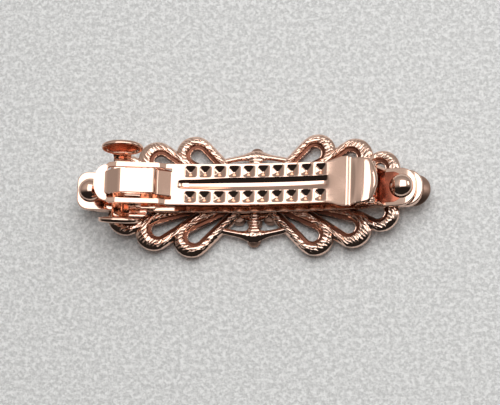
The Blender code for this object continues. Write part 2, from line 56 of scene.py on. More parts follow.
# %% Camera
AZIMUTH, ELEVATION, ROLL = (math.radians(d) for d in (22.01, 68.61, -21.57))
DISTANCE = 797.0 * MM
CLIP_MIDDLE = Vector((0, 0, 5 * MM))
PIXELS_PER_M = 4457.2
PIXELS_LEFT, PIXELS_BELOW = 3.47, 10.32
FRAME_PIXELS = 500
SENSOR_WIDTH = 36.0
away = Vector((math.sin(AZIMUTH) * math.cos(ELEVATION), -math.cos(AZIMUTH) * math.cos(ELEVATION),
               math.sin(ELEVATION)))
level = Vector((0, 0, 1)).cross(away).normalized()
raised = away.cross(level)
right = level * math.cos(ROLL) + raised * math.sin(ROLL)
up = raised * math.cos(ROLL) - level * math.sin(ROLL)
aim = CLIP_MIDDLE - right * (PIXELS_LEFT / PIXELS_PER_M) - up * (PIXELS_BELOW / PIXELS_PER_M)
lens = bpy.data.cameras.new("camera")
lens.sensor_width = SENSOR_WIDTH
lens.lens = PIXELS_PER_M * DISTANCE / FRAME_PIXELS * SENSOR_WIDTH
lens.clip_start = 10 * MM
camera = bpy.data.objects.new("camera", lens)
turn = Matrix((right, up, away)).transposed().to_4x4()
camera.matrix_world = Matrix.Translation(aim + away * DISTANCE) @ turn
bpy.context.scene.collection.objects.link(camera)
bpy.context.scene.camera = camera
bpy.context.scene.view_settings.view_transform = "Standard"
print("lens", round(lens.lens, 1), "mm")

# %% [markdown]
# ## Shader maths
# A small class wraps a socket, so that patterns are written as plain sums. Each operator adds one
# Math node. Every other node comes from the one method `node`.


# %% Shader helper
class Wire:
    """A shader socket that adds Math nodes when it is used in a sum."""

    def __init__(self, tree, socket):
        self.tree = tree
        self.socket = socket

    def node(self, kind, settings=None, out=0, **inputs):
        """Adds a node. An input is named by its label, or by its place as i0, i1 and so on."""
        made = self.tree.nodes.new(kind)
        for name, value in (settings or {}).items():
            setattr(made, name, value)
        for name, value in inputs.items():
            key = int(name[1:]) if name[0] == "i" and name[1:].isdigit() else name.replace("_", " ")
            if isinstance(value, Wire):
                self.tree.links.new(value.socket, made.inputs[key])
            else:
                made.inputs[key].default_value = value
        return Wire(self.tree, made.outputs[out])

    def math(self, operation, other):
        return self.node("ShaderNodeMath", {"operation": operation}, i0=self, i1=other)

    def __add__(self, other):
        return self.math("ADD", other)

    def __mul__(self, other):
        return self.math("MULTIPLY", other)

    __radd__ = __add__

    def between(self, low, high):
        """0 below low, 1 above high and smooth between."""
        return self.node("ShaderNodeMapRange", {"interpolation_type": "SMOOTHSTEP"},
                         Value=self, From_Min=low, From_Max=high)

    def tint(self, dark, light):
        return self.node("ShaderNodeMix", {"data_type": "RGBA"}, 2, i0=self, i6=(*dark, 1), i7=(*light, 1))


def new_look(name, **constants):
    """A material whose Principled sockets take the constants, with a Wire to start sums from."""
    made = bpy.data.materials.new(name)
    made.use_nodes = True
    tree = made.node_tree
    shader = tree.nodes["Principled BSDF"]
    for key, value in constants.items():
        shader.inputs[key.replace("_", " ")].default_value = value
    return made, shader, Wire(tree, None)


def connect(wire, socket):
    wire.tree.links.new(wire.socket, socket)


def places(wire, scale=(1, 1, 1), turn_by=(0, 0, 0)):
    spot = wire.node("ShaderNodeTexCoord", out=3)
    return wire.node("ShaderNodeMapping", Vector=spot, Scale=scale, Rotation=turn_by)


def noise(wire, spot, scale, detail=2.0, roughness=0.5):
    return wire.node("ShaderNodeTexNoise", Vector=spot, Scale=scale, Detail=detail, Roughness=roughness)


def bump(wire, height, strength, distance):
    return wire.node("ShaderNodeBump", Strength=strength, Distance=distance, Height=height)


# %% [markdown]
# ## Rose-gold finishes
# Rose gold here is a thin plating over pressed brass. A mirror finish is never quite even: it has
# soft smudges that change the roughness, hairline scratches from polishing, and a faintly paler
# tone where the plating is worn. The cast ornament is as bright, with a brushed grain. Shade is
# painted as a deeper tone into the pads of the latch, the dish round the right rivet, the flanges
# inside the petals, the small stone cups and the end pads.

# %% Metal finishes
ROSE, ROSE_PALE = (0.87, 0.58, 0.455), (0.89, 0.63, 0.51)
# The darker pairs of tones below are painted shade.
PAD_SHADE_DEEP, PAD_SHADE_DULL = (0.52, 0.22, 0.14), (0.66, 0.32, 0.22)
DISH_SHADE_DEEP, DISH_SHADE_DULL = (0.28, 0.075, 0.04), (0.38, 0.12, 0.075)
MATTE_SHADE_DEEP, MATTE_SHADE_DULL = (0.36, 0.225, 0.17), (0.45, 0.29, 0.225)
FLANGE_SHADE_DEEP, FLANGE_SHADE_DULL = (0.13, 0.048, 0.03), (0.20, 0.08, 0.052)
SMUDGE_SCALE, CLOUD_SCALE, GRAIN_SCALE = 140.0, 45.0, 2600.0
SCRATCH_SCALE, SCRATCH_TURN = (60, 2600, 400), (0, 0, 0.35)


def metal_look(name, rough, grain, scratch, tones=(ROSE, ROSE_PALE)):
    """A metal with cloudy tones, smudges between two roughnesses, scratches and a fine grain."""
    made, shader, w = new_look(name, Metallic=1.0)
    spot = places(w)
    smudge = noise(w, spot, SMUDGE_SCALE, detail=3.0)
    cloud = noise(w, spot, CLOUD_SCALE)
    connect(cloud.between(0.3, 0.75).tint(*tones), shader.inputs["Base Color"])
    connect(rough[0] + smudge.between(0.35, 0.75) * (rough[1] - rough[0]), shader.inputs["Roughness"])
    lines = noise(w, places(w, SCRATCH_SCALE, SCRATCH_TURN), 1.0)
    fine = noise(w, spot, GRAIN_SCALE)
    relief = bump(w, lines * scratch + fine * grain, strength=0.35, distance=0.04 * MM)
    connect(relief, shader.inputs["Normal"])
    return made


polished = metal_look("polished rose gold", rough=(0.05, 0.14), grain=0.0, scratch=0.35)
cast = metal_look("brushed cast rose gold", rough=(0.03, 0.09), grain=0.15, scratch=0.4)
spring = metal_look("spring rose gold", rough=(0.07, 0.16), grain=0.0, scratch=0.5)
# Painted shade for the dished insides of the thumb pads.
pad_shade = metal_look("rose gold with painted shade", rough=(0.16, 0.28), grain=0.3, scratch=0.2,
                    tones=(PAD_SHADE_DEEP, PAD_SHADE_DULL))
# Painted shade for the dish round the right rivet.
shaded = metal_look("shaded dish", rough=(0.16, 0.28), grain=0.3, scratch=0.2,
                    tones=(DISH_SHADE_DEEP, DISH_SHADE_DULL))
# Painted shade for the flanges inside the petals.
flange_shade = metal_look("flange with painted shade", rough=(0.28, 0.42), grain=0.3, scratch=0.2,
                      tones=(FLANGE_SHADE_DEEP, FLANGE_SHADE_DULL))
# Painted shade for the backs of the stone cups and the end pads; their roughness is real.
matte_shade = metal_look("matte cup backs with painted shade", rough=(0.38, 0.55), grain=0.3, scratch=0.2,
                   tones=(MATTE_SHADE_DEEP, MATTE_SHADE_DULL))
print("metals", polished.name, cast.name, spring.name)

# %% [markdown]
# ## Crystal
# The stones are clear cut glass. Their sparkle comes from flat facets, so the material is simple:
# a clean dielectric with a slightly cool body and a trace of dust in the roughness.

# %% Crystal finish
COOL, CLEAR = (0.93, 0.96, 1.0), (0.99, 0.99, 1.0)
crystal, shader, w = new_look("clear crystal", Transmission_Weight=0.92, IOR=1.58, Specular_IOR_Level=0.6)
dust = noise(w, places(w), 900.0)
connect(dust.between(0.3, 0.8).tint(COOL, CLEAR), shader.inputs["Base Color"])
connect(dust.between(0.55, 0.9) * 0.05, shader.inputs["Roughness"])
print("stone", crystal.name)

# %% [markdown]
# ## The set
# The clip lies on a sheet of pale packing foam with a fine soft grain. A wide softbox hangs over
# it, a little behind and to the right, which is why the left half of the clasp flares white and the
# right half shows a calmer pink. A low card on the right draws bright lines on the tongue. The room
# glows softly behind the clip and is dim in front of it, which gives the metal its dark edges. One
# more lamp lights the foam from above, through the petals, and stays out of the reflections.

# %% Floor
FLOOR_HALF = 0.9
FOAM_GREY, FOAM_WHITE = (0.66, 0.665, 0.66), (0.98, 0.985, 0.98)
bm = bmesh.new()
bmesh.ops.create_grid(bm, x_segments=1, y_segments=1, size=FLOOR_HALF)
mesh = bpy.data.meshes.new("floor")
bm.to_mesh(mesh)
bm.free()
floor = bpy.data.objects.new("floor", mesh)
bpy.context.scene.collection.objects.link(floor)
foam, shader, w = new_look("pale foam", Specular_IOR_Level=0.35)
spot = places(w)
grain = noise(w, spot, 1500.0, detail=3.0, roughness=0.6)
flake = noise(w, spot, 880.0, detail=4.0, roughness=0.7)
tone = grain.between(0.44, 0.58) * 0.4 + flake.between(0.45, 0.58) * 0.6
connect(tone.tint(FOAM_GREY, FOAM_WHITE), shader.inputs["Base Color"])
connect(0.42 + grain * 0.2, shader.inputs["Roughness"])
connect(bump(w, grain, strength=0.5, distance=0.5 * MM), shader.inputs["Normal"])
floor.data.materials.append(foam)


# %% Lights
def softbox(name, place, target, width, depth, radiance):
    """A flat lamp that faces its target and is equally bright whatever its size."""
    lamp = bpy.data.lights.new(name, "AREA")
    lamp.shape = "RECTANGLE"
    lamp.size, lamp.size_y = width, depth
    lamp.energy = radiance * math.pi * width * depth
    made = bpy.data.objects.new(name, lamp)
    facing = (Vector(target) - Vector(place)).to_track_quat("-Z", "Y")
    made.matrix_world = Matrix.Translation(place) @ facing.to_matrix().to_4x4()
    bpy.context.scene.collection.objects.link(made)
    return made


softbox("ceiling softbox", (0.10, 0.21, 0.60), (0.10, 0.21, 0.0), width=0.54, depth=0.60, radiance=1.85)
foam_light = softbox("foam light", (0.05, -0.08, 0.64), (0, 0, 0), width=0.35, depth=0.30, radiance=2.3)
foam_light.visible_glossy = False
softbox("right card", (0.59, 0.26, 0.44), (0, 0, 0), width=0.34, depth=0.20, radiance=1.9)

# %% Room
ROOM_TONE, FRONT_GLOW = (0.62, 0.60, 0.58), 0.035
room = bpy.data.worlds.new("dim room")
room.use_nodes = True
bpy.context.scene.world = room
tree = room.node_tree
w = Wire(tree, None)
sky = w.node("ShaderNodeTexCoord", out=0)
depth = w.node("ShaderNodeSeparateXYZ", out=1, Vector=sky)
height = w.node("ShaderNodeSeparateXYZ", out=2, Vector=sky)
glow = (0.5 + height.between(0.3, 0.95) * 0.45) * depth.between(-0.3, 0.25) + FRONT_GLOW
connect(glow.tint((0, 0, 0), ROOM_TONE), tree.nodes["Background"].inputs["Color"])

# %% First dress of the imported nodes
for name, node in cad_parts.items():
    look = crystal if name.startswith("stone") else cast if name == "ornament_frame" else polished
    node.data.materials.clear()
    node.data.materials.append(look)

# %% [markdown]
# ## One bow for every piece
# The whole clip is bowed to follow a head. Each piece is drawn flat, with s along it, y across it
# and h up from the floor, and its points are then carried onto the shared arc of the solids. The
# helper `settle` does that, smooths the shading, and ties the piece to the body that carries it.
# All sizes from here on are in millimetres.

# %% Bow and settle
BOW = 195.0
BAR_BOTTOM, BAR_SHEET = 3.5, 0.9
PIN_S, PIN_H = 27.6, 8.0


def bent(point):
    """Carries a flat point, in metres, onto the bow."""
    bow, bottom = BOW * MM, BAR_BOTTOM * MM
    turn_by = point[0] / bow
    radius = bow - (point[2] - bottom)
    return Vector((radius * math.sin(turn_by), point[1], bottom + bow - radius * math.cos(turn_by)))


def thickened(bm, sheet, edge, limit=0.9):
    """Gives a surface the thickness of its sheet, downwards, and breaks its sharp edges."""
    mesh = bpy.data.meshes.new("working")
    bm.to_mesh(mesh)
    bm.free()
    holder = bpy.data.objects.new("working", mesh)
    bpy.context.scene.collection.objects.link(holder)
    solid = holder.modifiers.new("sheet", "SOLIDIFY")
    solid.thickness = sheet * MM
    solid.offset = -1.0
    bevel = holder.modifiers.new("edge", "BEVEL")
    bevel.width = edge * MM
    bevel.segments = 2
    bevel.limit_method = "ANGLE"
    bevel.angle_limit = limit
    graph = bpy.context.evaluated_depsgraph_get()
    done = bmesh.new()
    done.from_mesh(holder.evaluated_get(graph).to_mesh())
    bpy.data.objects.remove(holder, do_unlink=True)
    bpy.data.meshes.remove(mesh)
    return done


def settle(name, bm, body, look, node=None, sharp=38, bend=True):
    """Makes the piece from its flat bmesh. Edges over the angle `sharp`, in degrees, stay crisp."""
    if bend:
        for v in bm.verts:
            v.co = bent(v.co)
    bmesh.ops.recalc_face_normals(bm, faces=bm.faces)
    mesh = bpy.data.meshes.new(name)
    bm.to_mesh(mesh)
    bm.free()
    mesh.polygons.foreach_set("use_smooth", [True] * len(mesh.polygons))
    mesh.set_sharp_from_angle(angle=math.radians(sharp))
    mesh.materials.append(look)
    made = bpy.data.objects.new(name, mesh)
    bpy.context.scene.collection.objects.link(made)
    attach(made, body)
    if node:
        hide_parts(node)
    print(name, len(mesh.polygons), "faces")


def cut_lines(bm, axis, values):
    """Cuts every face along straight lines, so that a pressed shape has edges to follow."""
    normal = Vector((axis == "s", axis == "y", 0))
    for value in sorted(set(values)):
        bmesh.ops.bisect_plane(bm, geom=bm.verts[:] + bm.edges[:] + bm.faces[:], dist=1e-7,
                               plane_co=normal * value * MM, plane_no=normal)


def spread(low, high, count):
    """Evenly spaced values from low to high, with both ends."""
    return [low + (high - low) * i / count for i in range(count + 1)]


def blank(s_low, s_high, half):
    """A flat strip of sheet before it is pressed."""
    bm = bmesh.new()
    bmesh.ops.create_grid(bm, x_segments=1, y_segments=1, size=1.0)
    bmesh.ops.scale(bm, vec=((s_high - s_low) / 2 * MM, half * MM, 1), verts=bm.verts)
    bmesh.ops.translate(bm, vec=((s_high + s_low) / 2 * MM, 0, 0), verts=bm.verts)
    return bm


def eased(x, low, high):
    """0 below low, 1 above high and a smooth step between."""
    t = min(1.0, max(0.0, (x - low) / (high - low)))
    return t * t * (3 - 2 * t)


def ramp(x, low, high, soft=0.12):
    """A straight slope from 0 to 1 with small round corners, as a press leaves it."""
    t = (x - low) / (high - low)
    if t < soft:
        return max(0.0, t + soft) ** 2 / (4 * soft)
    if t > 1 - soft:
        return 1 - max(0.0, 1 + soft - t) ** 2 / (4 * soft)
    return t


# %% [markdown]
# ## The clasp arm
# The arm is one strip of sheet from a press. The press lances the bridge up at the left, punches
# two rows of square pyramids whose points grip the hair, and folds one long groove to stiffen it. A
# flat blank is cut along the lines of the tool, its points are pushed as the tool pushes them,
# and the sheet then gets its thickness, so the teeth under the arm come of themselves.

# %% Sizes of the arm
ARM_TOP, ARM_HALF, ARM_SHEET = 10.4, 4.8, 0.62
# The round tip at the left.
TIP, TIP_LENGTH = -36.4, 2.7
TIP_HALF, TIP_SHOULDER = 4.15, 0.9
# The bridge rises from its foot to its top and comes down in two steps.
RISE_FOOT, RISE_TOP = -33.7, -30.4
FALL_TOP, FALL_STEP, FALL_FOOT = -22.4, -21.7, -18.0
BRIDGE_RISE, BRIDGE_STEP = 2.2, 1.1
BRIDGE_HALF, BRIDGE_EDGE, BRIDGE_ZONE = 2.8, 3.0, -10.0
# The rails beside the two windows.
RAIL_RISE, RAIL_INSIDE = 0.7, 3.7
RAIL_UP, RAIL_DOWN = (-33.5, -31.2), (-21.6, -19.3)
# Two rows of ten teeth. The high power makes their rims square.
TOOTH_ROW, TOOTH_HALF, TOOTH_DEPTH = 3.0, 1.4, 0.9
TOOTH_CUTS, TOOTH_POWER = 6, 6
TEETH = spread(-14.0, 16.4, 9)
# The groove starts narrow at the left and widens.
GROOVE_DEPTH, GROOVE_FLOOR = 0.62, 0.45
GROOVE_HALF, GROOVE_WIDER = 0.95, 0.6
GROOVE_START, GROOVE_WIDENS, GROOVE_END = (-17.4, -15.4), (-16.0, -3.0), (17.4, 18.7)
GROOVE_LINES = (0.2, 0.45, 0.55, 0.65, 0.85, 1.05, 1.25, 1.45, 1.55)
# The sides flare out to a crease, and the tongue beyond it rolls down over the hinge pin.
FLARE, FLARE_SPAN = 1.0, (17.4, 22.0)
CREASE_START, CREASE, CREASE_END = 22.6, 23.3, 24.7
CREASE_DEPTH, CREASE_NECK = 0.45, 0.35
TONGUE, TONGUE_REACH = 24.2, 5.75
TONGUE_SWELL, SWELL_UP, SWELL_DOWN = 0.3, (23.7, 26.0), (26.8, 28.8)
TONGUE_CROWN, CROWN_SPAN = 0.5, (23.6, 25.0)
TAIL_RADIUS = 2.4
TAIL_END = PIN_S + math.radians(57) * TAIL_RADIUS

# %% Blank of the arm
# Lines lie close together where the sheet bends and far apart where it stays flat.
tooth_lines = [TOOTH_HALF * k / TOOTH_CUTS for k in range(-TOOTH_CUTS, TOOTH_CUTS + 1)]
s_lines = [RISE_FOOT - TIP_LENGTH * math.sin(math.pi / 2 * k / 12) for k in range(12)]
s_lines += spread(-34.2, -29.9, 16) + spread(-29.4, -23.2, 4) + spread(-22.9, -17.4, 24)
for centre in TEETH:
    s_lines += [centre + line for line in tooth_lines]
s_lines += [-16.9, -16.6, -16.2, -15.8, 17.9, 18.2] + spread(18.6, 22.3, 5) + spread(22.45, 24.45, 16)
s_lines += spread(24.7, PIN_S, 12) + spread(PIN_S, TAIL_END, 20)[1:-1]
y_lines = [0]
for side in (1, -1):
    y_lines += [side * BRIDGE_HALF, side * RAIL_INSIDE]
    y_lines += [side * (TOOTH_ROW + line) for line in tooth_lines]
    y_lines += [side * line for line in GROOVE_LINES]
bm = blank(TIP, TAIL_END, ARM_HALF)
cut_lines(bm, "s", s_lines)
cut_lines(bm, "y", y_lines)
windows = []
for face in bm.faces:
    s, y, _ = face.calc_center_median() / MM
    if BRIDGE_HALF < abs(y) < RAIL_INSIDE and RISE_FOOT + 0.2 < s < FALL_FOOT - 0.4:
        windows.append(face)
bmesh.ops.delete(bm, geom=windows, context="FACES")


# %% Press tool
def tooth_reach(s, y):
    """How far a point is from the middle of its tooth: 0 in the middle, 1 at the square rim."""
    near = min(TEETH, key=lambda c: abs(c - s))
    total = abs(s - near) ** TOOTH_POWER + abs(abs(y) - TOOTH_ROW) ** TOOTH_POWER
    return total ** (1 / TOOTH_POWER) / TOOTH_HALF


def lifted(s, y):
    """Height of the bridge, which comes down in two steps, or of the rails beside it."""
    if s < BRIDGE_ZONE and abs(y) < BRIDGE_EDGE:
        rise = BRIDGE_RISE * ramp(s, RISE_FOOT, RISE_TOP)
        rise -= BRIDGE_STEP * ramp(s, FALL_TOP, FALL_STEP, 0.3)
        return rise - BRIDGE_STEP * ramp(s, FALL_STEP, FALL_FOOT)
    return RAIL_RISE * (ramp(s, *RAIL_UP, 0.2) - ramp(s, *RAIL_DOWN, 0.2))


def sunk(s, y):
    """Depth of the pyramids, of the groove between their rows and of the crease at the tongue."""
    tooth = max(0.0, 1 - tooth_reach(s, y))
    groove = ramp(abs(y), GROOVE_HALF + GROOVE_WIDER * eased(s, *GROOVE_WIDENS), GROOVE_FLOOR, 0.1)
    groove *= eased(s, *GROOVE_START) * (1 - eased(s, *GROOVE_END))
    crease = eased(s, CREASE_START, CREASE) * (1 - eased(s, CREASE + 0.1, CREASE_END))
    return TOOTH_DEPTH * tooth + GROOVE_DEPTH * groove + CREASE_DEPTH * crease


def crowned(s, y):
    """Height of the tongue, which swells along its middle and falls away to both sides."""
    swell = eased(s, *SWELL_UP) * (1 - eased(s, *SWELL_DOWN))
    return TONGUE_SWELL * swell - TONGUE_CROWN * (y / ARM_HALF) ** 2 * eased(s, *CROWN_SPAN)


def half_width(s):
    """Half the width of the arm: a round tip, straight sides, a flare and a round tongue."""
    half = ARM_HALF + FLARE * eased(s, *FLARE_SPAN) - CREASE_NECK * eased(s, CREASE - 0.1, CREASE + 0.25)
    if s < RISE_FOOT + TIP_SHOULDER:
        half = TIP_HALF + (ARM_HALF - TIP_HALF) * eased(s, RISE_FOOT - 0.2, RISE_FOOT + TIP_SHOULDER)
    if s < RISE_FOOT:
        half *= math.sqrt(max(0.015, 1 - ((RISE_FOOT - s) / (TIP_LENGTH + 0.02)) ** 2))
    if s > TONGUE:
        along = s if s < PIN_S else PIN_S + TAIL_RADIUS * math.sin((s - PIN_S) / TAIL_RADIUS)
        half *= (1 - ((along - TONGUE) / TONGUE_REACH) ** 3) ** 0.45
    return half


for v in bm.verts:
    s, y = v.co.x / MM, v.co.y / MM
    rise = lifted(s, y) - sunk(s, y) + crowned(s, y)
    v.co = Vector((s, y * half_width(s) / ARM_HALF, ARM_TOP + rise)) * MM
    if s > PIN_S:
        sweep = (s - PIN_S) / TAIL_RADIUS
        v.co.x = (PIN_S + (TAIL_RADIUS + rise) * math.sin(sweep)) * MM
        v.co.z = (PIN_H + (TAIL_RADIUS + rise) * math.cos(sweep)) * MM
settle("arm_sheet", thickened(bm, ARM_SHEET, edge=0.09), "arm", polished, "clasp_arm", sharp=42)

# %% [markdown]
# Two cheeks hang from the tail of the arm, just inside the lugs of the base, and the pin runs
# through both. Each is a flat outline raised to a plate, with its edges broken.


# %% Plates from outlines
def plate(outline, lift, edge, segments=2, plane="sy"):
    """A flat outline in the named plane, raised to a plate with broken edges."""
    bm = bmesh.new()
    spots = {"sy": lambda a, b: (a, b, 0), "sh": lambda a, b: (a, 0, b), "yh": lambda a, b: (0, a, b)}
    ring = [bm.verts.new(Vector(spots[plane](a, b)) * MM) for a, b in outline]
    face = bm.faces.new(ring)
    grown = bmesh.ops.extrude_face_region(bm, geom=[face])["geom"]
    fresh = [g for g in grown if isinstance(g, bmesh.types.BMVert)]
    bmesh.ops.translate(bm, vec=Vector(lift) * MM, verts=fresh)
    bmesh.ops.recalc_face_normals(bm, faces=bm.faces)
    rim = [e for e in bm.edges if e.calc_face_angle(0) > 0.7]
    bmesh.ops.bevel(bm, geom=rim, offset=edge * MM, offset_type="OFFSET", affect="EDGES", segments=segments,
                    profile=0.5, material=-1, clamp_overlap=True)
    return bm


def arc(cs, cy, radius, first, last, steps):
    """Points of an arc between two angles in degrees."""
    spots = [math.radians(first + (last - first) * i / steps) for i in range(steps + 1)]
    return [(cs + radius * math.cos(a), cy + radius * math.sin(a)) for a in spots]


def moved(bm, s=0.0, y=0.0, h=0.0):
    bmesh.ops.translate(bm, vec=Vector((s, y, h)) * MM, verts=bm.verts)
    return bm


# %% Cheeks
CHEEK_SHEET, CHEEK_ROUND = 0.8, 1.5
cheek = [(23.9, 9.9)] + arc(PIN_S, PIN_H, CHEEK_ROUND, 215, 375, 20) + [(28.9, 9.6)]
for label, y in (("back", 2.5), ("front", -3.3)):
    bm = plate(cheek, (0, CHEEK_SHEET, 0), edge=0.14, plane="sh")
    settle("arm_cheek_" + label, moved(bm, y=y), "arm", polished)

# %% [markdown]
# ## The base bar and its lugs
# The bar is thicker sheet with round ends, wider in its curve at the hinge end. Two arched lugs
# stand on its edges there and carry the pin. An outline raised to a plate gives both, and the long
# bar is cut across every two millimetres so that it can follow the bow. Beside the right rivet the
# bar shows a deep red shade, and a thin plate with that shade painted on stands for it.

# %% Base bar
BAR_LEFT, BAR_RIGHT, BAR_HALF = -40.0, 37.2, 4.5
CURVE_LEFT, CURVE_RIGHT = 2.6, 3.85
DISH_S, DISH_ROUND = 31.0, 3.75
DISH_SHEET, DISH_H = 0.06, 4.37
LUG_SHEET, LUG_ROUND = 0.78, 1.3


def round_bar(low, high, half, left, right):
    """The outline of a bar with one corner radius at its left end and one at its right."""
    outline = arc(high - right, half - right, right, 0, 90, 10)
    outline += arc(low + left, half - left, left, 90, 180, 10)
    outline += arc(low + left, left - half, left, 180, 270, 10)
    return outline + arc(high - right, right - half, right, 270, 360, 10)


bar = round_bar(BAR_LEFT, BAR_RIGHT, BAR_HALF, CURVE_LEFT, CURVE_RIGHT)
bm = plate(bar, (0, 0, BAR_SHEET), edge=0.2, segments=3)
cut_lines(bm, "s", spread(-39.0, 36.2, 38))
settle("base_strip", moved(bm, h=BAR_BOTTOM), "base", polished, "base_bar")
# A thin plate round the right rivet carries the painted shade.
dish = arc(DISH_S, 0, DISH_ROUND, -75, 75, 24) + [(28.4, 3.62), (28.4, -3.62)]
bm = plate(dish, (0, 0, DISH_SHEET), edge=0.02)
cut_lines(bm, "s", spread(29.0, 34.0, 5))
settle("base_dish_shade", moved(bm, h=DISH_H), "base", shaded)
lug = [(30.6, 3.8), (30.1, 4.6), (29.7, 5.6), (29.3, 6.3), (29.02, 6.9)]
lug += arc(PIN_S, PIN_H, LUG_ROUND, -20, 140, 18)
lug += [(25.9, 8.35), (25.0, 7.7), (24.3, 6.95), (23.7, 6.0), (23.25, 4.9), (22.95, 3.8)]
for label, y in (("back", 3.7), ("front", -4.48)):
    bm = plate(lug, (0, LUG_SHEET, 0), edge=0.12, plane="sh")
    settle("base_lug_" + label, moved(bm, y=y), "base", polished)

# %% [markdown]
# ## Turned pieces
# The rivet heads and the hinge pin are round, so half a profile is drawn once and spun about its
# axis. The rivets stand on the bowed bar without bending, which is what `stand` is for.

# %% Rivets and pin
DOME_RADIUS, DOME_FOOT, DOME_RISE = 2.75, 0.12, 2.1
RIVET_H = 4.45


def turned(profile, steps=56):
    """A profile of (radius, height) points, spun about the upright axis."""
    bm = bmesh.new()
    verts = [bm.verts.new((r * MM, 0, h * MM)) for r, h in profile]
    edges = [bm.edges.new(pair) for pair in zip(verts, verts[1:])]
    bmesh.ops.spin(bm, geom=verts + edges, cent=(0, 0, 0), axis=(0, 0, 1), angle=math.tau, steps=steps,
                   use_merge=True)
    bmesh.ops.remove_doubles(bm, verts=bm.verts, dist=1e-6)
    bmesh.ops.recalc_face_normals(bm, faces=bm.faces)
    return bm


def stand(name, bm, s, y, h, look, node=None, sharp=50):
    """Stands a small stiff piece of the base on the bow without bending it."""
    place = Matrix.Translation(bent(Vector((s, y, h)) * MM)) @ Matrix.Rotation(-s / BOW, 4, "Y")
    bmesh.ops.transform(bm, matrix=place, verts=bm.verts)
    settle(name, bm, "base", look, node, sharp, bend=False)


dome = [(0, -2.3), (1.1, -2.3), (1.1, 0), (2.62, 0), (2.72, 0.08)]
for a in map(math.radians, range(4, 88, 6)):
    dome.append((DOME_RADIUS * math.cos(a), DOME_FOOT + DOME_RISE * math.sin(a)))
dome.append((0, DOME_FOOT + DOME_RISE))
for label, s in (("left", -37.0), ("right", 33.9)):
    stand("rivet_dome_" + label, turned(dome), s, 0, RIVET_H, polished, "rivet_" + label)
pin = [(0, -5.0), (0.85, -5.0), (1.05, -4.92), (1.12, -4.8), (1.12, -4.56), (0.75, -4.55)]
bm = turned(pin + [(r, -h) for r, h in reversed(pin)], steps=32)
bmesh.ops.rotate(bm, cent=(0, 0, 0), matrix=Matrix.Rotation(math.pi / 2, 3, "X"), verts=bm.verts)
settle("hinge_pin_turned", moved(bm, s=PIN_S, h=PIN_H), "base", polished, "hinge_pin")

# %% [markdown]
# ## The pinch latch
# A foot plate sits on the bar and holds two sprung ears. Each ear is a strip: its hooked wall goes
# up through a window of the arm, its neck runs out under the arm, and it ends in an oval thumb pad
# that is dished on the inside. The pad is a spun profile, stretched to an oval and leaned outwards.

# %% Latch plate
LATCH_SHEET, LATCH_H = 0.5, 4.5
TABS_SHEET, TABS_H = 0.44, 4.53
foot = round_bar(-32.0, -22.0, half=4.25, left=1.0, right=1.0)
bm = plate(foot, (0, 0, LATCH_SHEET), edge=0.12)
settle("latch_foot", moved(bm, h=LATCH_H), "base", spring, "latch_plate")
tabs = round_bar(-28.7, -24.0, half=6.0, left=1.1, right=1.1)
bm = plate(tabs, (0, 0, TABS_SHEET), edge=0.14, segments=3)
settle("latch_tabs", moved(bm, h=TABS_H), "base", spring)

# %% Latch ears
WALL_S, WALL_LENGTH = -29.2, 3.8
NECK_S, NECK_LENGTH = -32.05, 3.9
NECK_FLARE, NECK_SPAN = 0.14, (6.4, 8.3)
FOOT_SHEET, FOOT_H = 0.42, 5.14
PAD_S, PAD_Y, PAD_H = -30.1, 8.69, 9.8
PAD_LONG, PAD_TALL = 4.8, 2.5
HOOK = [(2.85, 5.1), (3.35, 5.1), (3.35, 10.7), (3.55, 10.8), (3.55, 11.05), (3.35, 11.45), (2.85, 11.45)]
FOOT = [(-32.0, 2.9), (-25.45, 2.9), (-25.45, 3.85), (-32.0, 3.85)]
NECK = [(2.95, 5.12), (6.8, 5.12), (7.3, 5.22), (7.65, 5.45), (7.85, 5.85), (8.45, 8.25), (7.95, 8.35)]
NECK += [(7.42, 6.1), (7.25, 5.82), (6.95, 5.66), (6.6, 5.62), (2.95, 5.62)]
PAD_FACE = [(0, -0.02), (0.42, -0.03), (0.62, -0.07), (0.74, -0.18), (0.8, -0.3), (0.8, 0.42), (0, 0.45)]
PAD_RIM = [(0.76, -0.22), (0.82, -0.38), (0.88, -0.5), (0.94, -0.53), (0.985, -0.44), (1.0, -0.25)]
PAD_RIM += [(1.0, 0.2), (0.97, 0.38), (0.9, 0.48), (0.76, 0.5), (0.76, -0.22)]
for label, side, lean in (("back", 1, math.radians(14)), ("front", -1, math.radians(24))):
    ear = "ear_" + label
    bm = plate([(y * side, h) for y, h in HOOK], (WALL_LENGTH, 0, 0), edge=0.08, plane="yh")
    settle(ear + "_wall", moved(bm, s=WALL_S), ear, spring, "latch_" + ear)
    bm = plate([(s, y * side) for s, y in FOOT], (0, 0, FOOT_SHEET), edge=0.08)
    settle(ear + "_foot", moved(bm, h=FOOT_H), ear, spring)
    bm = plate([(y * side, h) for y, h in NECK], (NECK_LENGTH, 0, 0), edge=0.1, plane="yh")
    middle = NECK_LENGTH / 2 * MM
    for v in bm.verts:
        v.co.x = middle + (v.co.x - middle) * (1 + NECK_FLARE * eased(v.co.z / MM, *NECK_SPAN))
    settle(ear + "_neck", moved(bm, s=NECK_S), ear, spring)
    along, rising = Vector((1, 0, 0)), Vector((0, math.sin(lean) * side, math.cos(lean)))
    outward = Vector((0, math.cos(lean) * side, -math.sin(lean)))
    # The dished face of each thumb pad takes the painted shade, and its rim keeps the spring finish.
    for kind, profile, look in (("_pad", PAD_FACE, pad_shade), ("_rim", PAD_RIM, spring)):
        bm = turned(profile, steps=72)
        for v in bm.verts:
            v.co = along * (v.co.x * PAD_LONG) + rising * (v.co.y * PAD_TALL) + outward * v.co.z
        settle(ear + kind, moved(bm, PAD_S, PAD_Y * side, PAD_H), ear, look, sharp=50)

# %% [markdown]
# ## The tension bar
# A thin bowed leaf lies between the base and the arm and presses the hair against the teeth. It is
# a strip of sheet that is raised along its middle before it gets its thickness.

